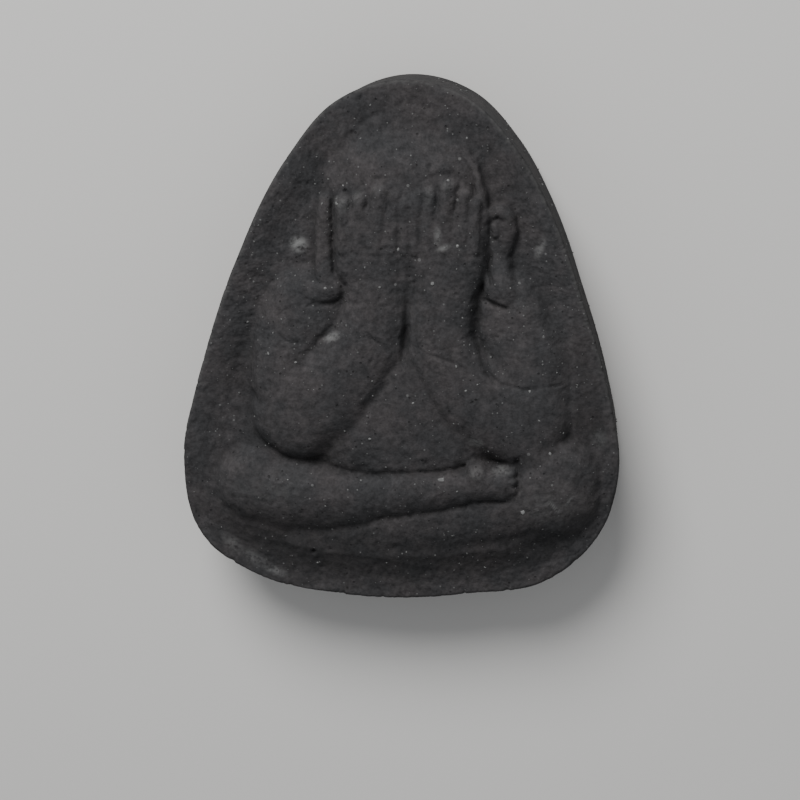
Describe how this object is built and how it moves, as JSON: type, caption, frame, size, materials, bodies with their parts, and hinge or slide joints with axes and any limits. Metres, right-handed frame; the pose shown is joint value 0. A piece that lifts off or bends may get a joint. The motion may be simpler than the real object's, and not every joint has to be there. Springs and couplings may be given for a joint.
{
  "type": "pressed powder amulet tablet",
  "caption": "Flat-backed pressed-powder amulet tablet, wider at its base, with a cross-legged figure in low relief that covers its face with both hands.",
  "frame": {"origin": "centre of the flat back, at the middle of the outline's box", "axes": "+Z out of the pressed face, +Y towards the figure's head and the tablet's crown, +X towards the viewer's right"},
  "size_m": [0.0276, 0.0332, 0.008],
  "materials": {
    "pressed_powder": "matte dark warm-grey pressed powder with pale mineral flecks and fine pits"
  },
  "bodies": {
    "root": {"amulet_tablet": "pressed_powder"}
  },
  "joints": []
}
